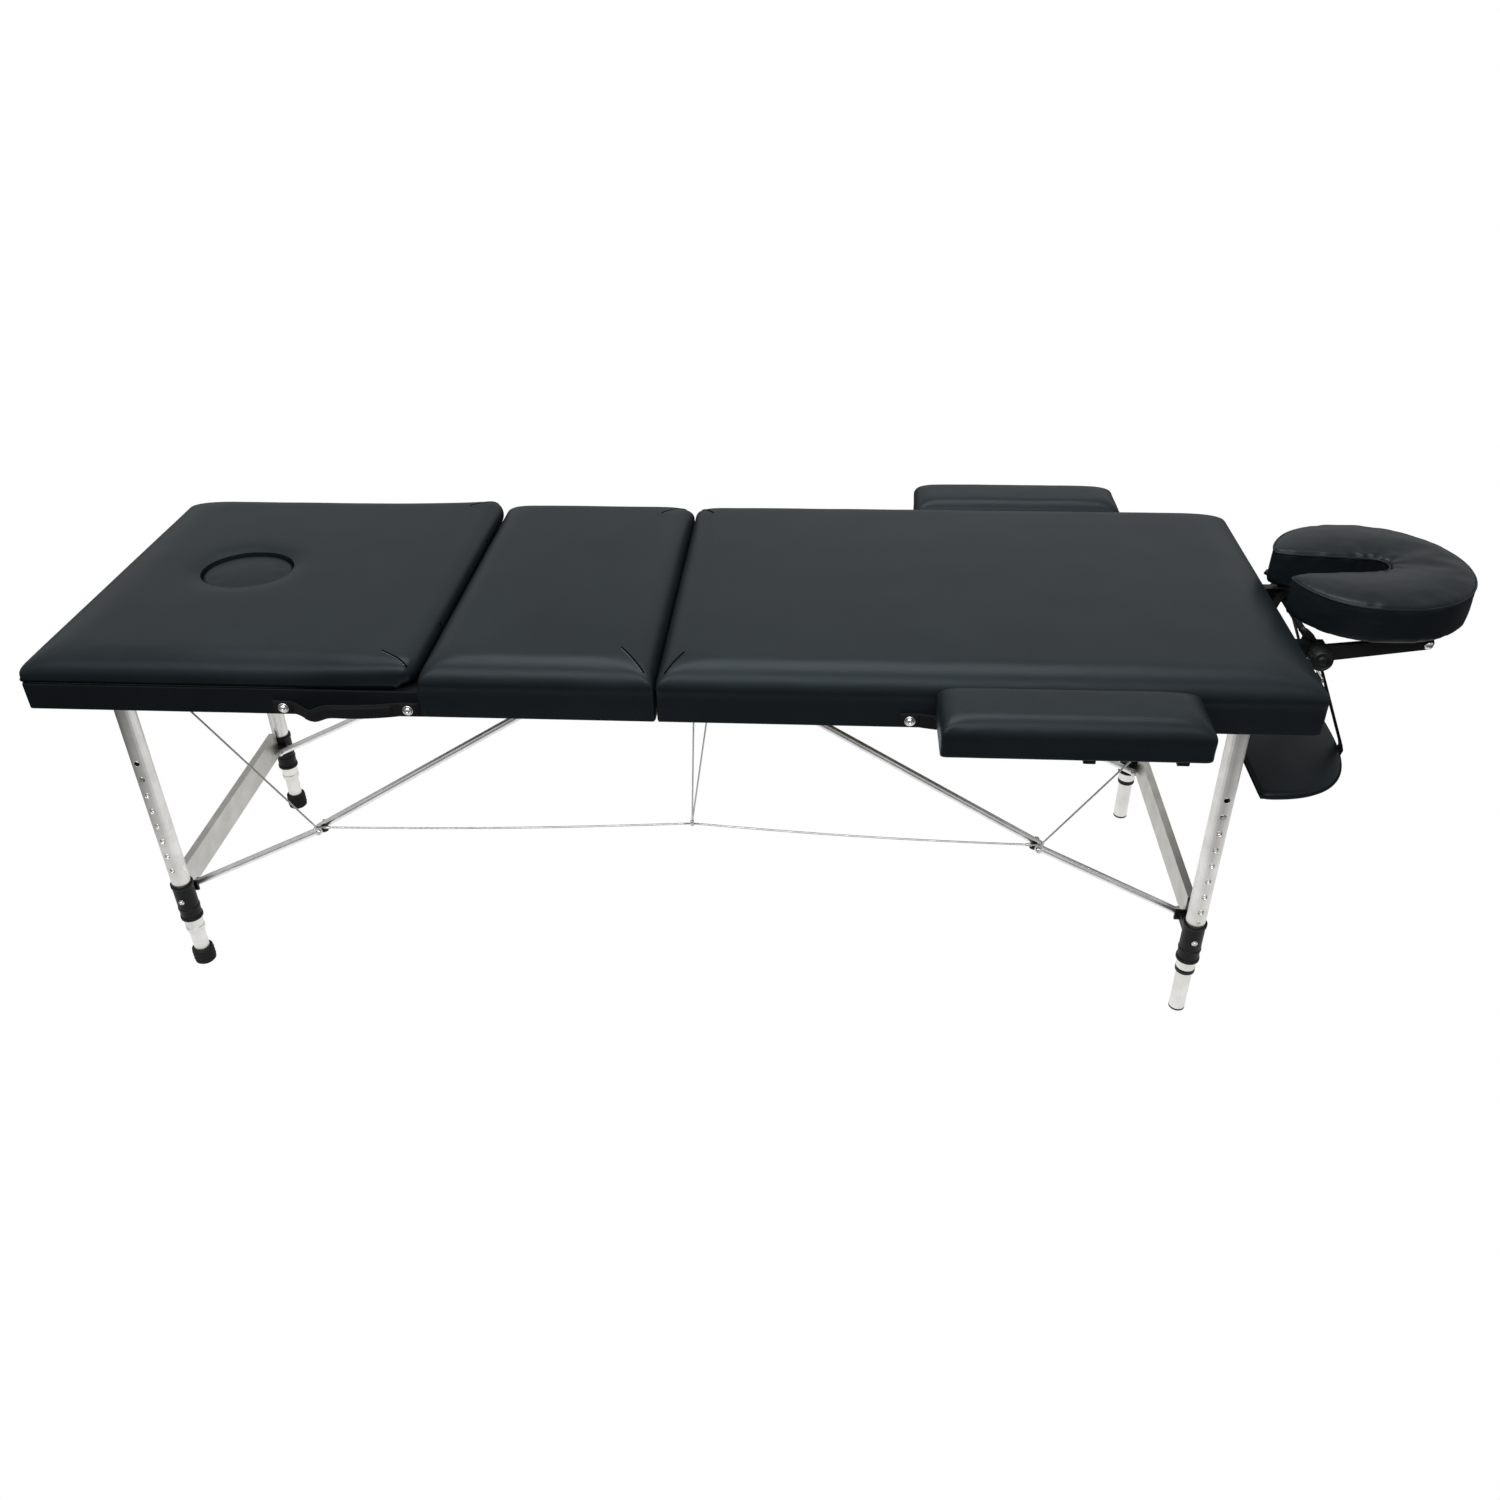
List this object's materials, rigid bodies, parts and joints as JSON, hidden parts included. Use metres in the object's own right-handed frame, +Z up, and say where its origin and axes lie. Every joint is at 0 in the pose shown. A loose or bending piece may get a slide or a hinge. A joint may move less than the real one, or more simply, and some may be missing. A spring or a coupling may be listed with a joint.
{
  "type": "portable massage table",
  "caption": "Folding padded treatment table with a lifting backrest, face hole, telescopic braced legs, headrest, armrests and hanging arm sling",
  "frame": {"origin": "on the floor under the middle of the overall length, headrest included", "axes": "+X along the table to the headrest end, +Y across to the far side, +Z up"},
  "size_m": [2.128, 0.828, 0.674],
  "materials": {
    "vinyl": "vinyl-coated upholstery fabric over foam, soft sheen",
    "frame_wrap": "vinyl wrapped over the wooden frame",
    "plywood": "plain",
    "aluminium": "satin anodised",
    "bright_aluminium": "polished",
    "steel": "zinc plated",
    "black_steel": "satin black",
    "black_plastic": "moulded",
    "rubber": "matt",
    "webbing": "woven strap"
  },
  "bodies": {
    "left_half": {"left_frame": "frame_wrap", "mid_pad": "vinyl", "left_handle": "webbing", "prop_rack_near": "steel", "prop_rack_far": "steel", "fold_hinge_left": "steel", "left_leg_axle": "steel", "near_cable": "steel", "far_cable": "steel"},
    "right_half": {"right_frame": "frame_wrap", "right_pad": "vinyl", "right_handle": "webbing", "fold_hinge_right": "steel", "right_leg_axle": "steel"},
    "latch": {"case_latch": "steel"},
    "backrest": {"backrest_board": "plywood", "backrest_pad": "vinyl"},
    "face_plug": {"face_hole_plug": "vinyl"},
    "prop": {"backrest_prop": "steel"},
    "armrest_near": {"armrest_near_pad": "vinyl", "armrest_near_frame": "steel"},
    "armrest_far": {"armrest_far_pad": "vinyl", "armrest_far_frame": "steel"},
    "headrest_base": {"headrest_base": "black_steel"},
    "headrest_arms": {"headrest_arms": "black_steel"},
    "headrest": {"headrest_platform": "black_steel", "headrest_cushion": "vinyl"},
    "knob": {"headrest_knob": "black_plastic"},
    "sling": {"sling_shelf": "vinyl", "sling_strap_near": "webbing", "sling_strap_far": "webbing"},
    "left_near_foot": {"left_near_inner_leg": "aluminium", "left_near_foot_cap": "rubber"},
    "left_near_button": {"left_near_button": "steel"},
    "left_far_foot": {"left_far_inner_leg": "aluminium", "left_far_foot_cap": "rubber"},
    "left_far_button": {"left_far_button": "steel"},
    "left_legs": {"left_crossbar": "aluminium", "left_near_outer_leg": "aluminium", "left_near_collar": "black_plastic", "left_far_outer_leg": "aluminium", "left_far_collar": "black_plastic"},
    "left_lower_braces": {"left_near_lower_brace": "bright_aluminium", "left_far_lower_brace": "bright_aluminium"},
    "left_upper_braces": {"left_near_upper_brace": "bright_aluminium", "left_far_upper_brace": "bright_aluminium"},
    "right_near_foot": {"right_near_inner_leg": "aluminium"},
    "right_near_button": {"right_near_button": "steel"},
    "right_far_foot": {"right_far_inner_leg": "aluminium"},
    "right_far_button": {"right_far_button": "steel"},
    "right_legs": {"right_crossbar": "aluminium", "right_near_outer_leg": "aluminium", "right_near_collar": "black_plastic", "right_far_outer_leg": "aluminium", "right_far_collar": "black_plastic"},
    "right_lower_braces": {"right_near_lower_brace": "bright_aluminium", "right_far_lower_brace": "bright_aluminium"},
    "right_upper_braces": {"right_near_upper_brace": "bright_aluminium", "right_far_upper_brace": "bright_aluminium"}
  },
  "joints": [
    {"name": "table_fold", "type": "hinge", "parent": "left_half", "child": "right_half", "pos_m": [-0.139, 0, 0.552], "axis": [0, 1, 0], "range_deg": [0, 180], "deforming": ["near_cable", "far_cable"]},
    {"name": "left_leg_fold", "type": "hinge", "parent": "left_half", "child": "left_legs", "pos_m": [-0.966, 0, 0.57], "axis": [0, 1, 0], "range_deg": [-90.5, 0]},
    {"name": "left_upper_brace_turn", "type": "hinge", "parent": "left_half", "child": "left_upper_braces", "pos_m": [-0.213, 0, 0.583], "axis": [0, 1, 0], "range_deg": [0, 31.65]},
    {"name": "left_lower_brace_turn", "type": "hinge", "parent": "left_legs", "child": "left_lower_braces", "pos_m": [-0.958, 0, 0.147], "axis": [0, 1, 0], "range_deg": [-64.8, 0]},
    {"name": "left_near_leg_height", "type": "slide", "parent": "left_legs", "child": "left_near_foot", "axis": [0, 0, 1], "range_m": [-0.1824, 0]},
    {"name": "left_near_button_press", "type": "slide", "parent": "left_near_foot", "child": "left_near_button", "axis": [0, 1, 0], "range_m": [0, 0.004], "stiffness_N_per_m": 400, "springref_m": -0.002},
    {"name": "left_far_leg_height", "type": "slide", "parent": "left_legs", "child": "left_far_foot", "axis": [0, 0, 1], "range_m": [-0.1824, 0]},
    {"name": "left_far_button_press", "type": "slide", "parent": "left_far_foot", "child": "left_far_button", "axis": [0, -1, 0], "range_m": [0, 0.004], "stiffness_N_per_m": 400, "springref_m": -0.002},
    {"name": "right_leg_fold", "type": "hinge", "parent": "right_half", "child": "right_legs", "pos_m": [0.686, 0, 0.57], "axis": [0, 1, 0], "range_deg": [0, 90.5]},
    {"name": "right_upper_brace_turn", "type": "hinge", "parent": "right_half", "child": "right_upper_braces", "pos_m": [-0.065, 0, 0.583], "axis": [0, 1, 0], "range_deg": [-31.41, 0]},
    {"name": "right_lower_brace_turn", "type": "hinge", "parent": "right_legs", "child": "right_lower_braces", "pos_m": [0.678, 0, 0.147], "axis": [0, 1, 0], "range_deg": [0, 64.05]},
    {"name": "right_near_leg_height", "type": "slide", "parent": "right_legs", "child": "right_near_foot", "axis": [0, 0, 1], "range_m": [-0.1824, 0]},
    {"name": "right_near_button_press", "type": "slide", "parent": "right_near_foot", "child": "right_near_button", "axis": [0, 1, 0], "range_m": [0, 0.004], "stiffness_N_per_m": 400, "springref_m": -0.002},
    {"name": "right_far_leg_height", "type": "slide", "parent": "right_legs", "child": "right_far_foot", "axis": [0, 0, 1], "range_m": [-0.1824, 0]},
    {"name": "right_far_button_press", "type": "slide", "parent": "right_far_foot", "child": "right_far_button", "axis": [0, -1, 0], "range_m": [0, 0.004], "stiffness_N_per_m": 400, "springref_m": -0.002},
    {"name": "backrest_lift", "type": "hinge", "parent": "left_half", "child": "backrest", "pos_m": [-0.501, 0, 0.6175], "axis": [0, 1, 0], "range_deg": [0, 65]},
    {"name": "prop_swing", "type": "hinge", "parent": "backrest", "child": "prop", "pos_m": [-0.666, 0, 0.59], "axis": [0, 1, 0], "range_deg": [-121.3, 0]},
    {"name": "face_plug_lift", "type": "slide", "parent": "backrest", "child": "face_plug", "axis": [0, 0, 1], "range_m": [0, 0.06]},
    {"name": "armrest_near_slide", "type": "slide", "parent": "right_half", "child": "armrest_near", "axis": [0, -1, 0], "range_m": [0, 0.012]},
    {"name": "armrest_far_slide", "type": "slide", "parent": "right_half", "child": "armrest_far", "axis": [0, 1, 0], "range_m": [0, 0.012]},
    {"name": "headrest_slide", "type": "slide", "parent": "right_half", "child": "headrest_base", "axis": [1, 0, 0], "range_m": [0, 0.06]},
    {"name": "headrest_lower", "type": "hinge", "parent": "headrest_base", "child": "headrest_arms", "pos_m": [0.83, 0, 0.577], "axis": [0, 1, 0], "range_deg": [0, 20], "stiffness_Nm_per_rad": 250},
    {"name": "headrest_tilt", "type": "hinge", "parent": "headrest_arms", "child": "headrest", "pos_m": [0.983, 0, 0.598], "axis": [0, 1, 0], "range_deg": [0, 20], "stiffness_Nm_per_rad": 80},
    {"name": "knob_turn", "type": "hinge", "parent": "headrest_base", "child": "knob", "pos_m": [0.83, -0.122, 0.577], "axis": [0, 1, 0], "range_deg": [-90, 90]},
    {"name": "sling_swing", "type": "hinge", "parent": "headrest_base", "child": "sling", "pos_m": [0.83, 0, 0.577], "axis": [0, 1, 0], "range_deg": [-46, 0]},
    {"name": "latch_flip", "type": "hinge", "parent": "right_half", "child": "latch", "pos_m": [0.7895, -0.236, 0.614], "axis": [0, -1, 0], "range_deg": [0, 100]}
  ],
  "couplings": [
    {"joint": "left_leg_fold", "follows": "table_fold", "ratio": -0.5},
    {"joint": "left_upper_brace_turn", "follows": "table_fold", "ratio": 0.17307},
    {"joint": "left_lower_brace_turn", "follows": "table_fold", "ratio": -0.3572},
    {"joint": "right_leg_fold", "follows": "table_fold", "ratio": 0.5},
    {"joint": "right_upper_brace_turn", "follows": "table_fold", "ratio": -0.17175},
    {"joint": "right_lower_brace_turn", "follows": "table_fold", "ratio": 0.35306},
    {"joint": "prop_swing", "follows": "backrest_lift", "ratio": -1.8585},
    {"joint": "sling_swing", "follows": "table_fold", "ratio": -0.25}
  ]
}
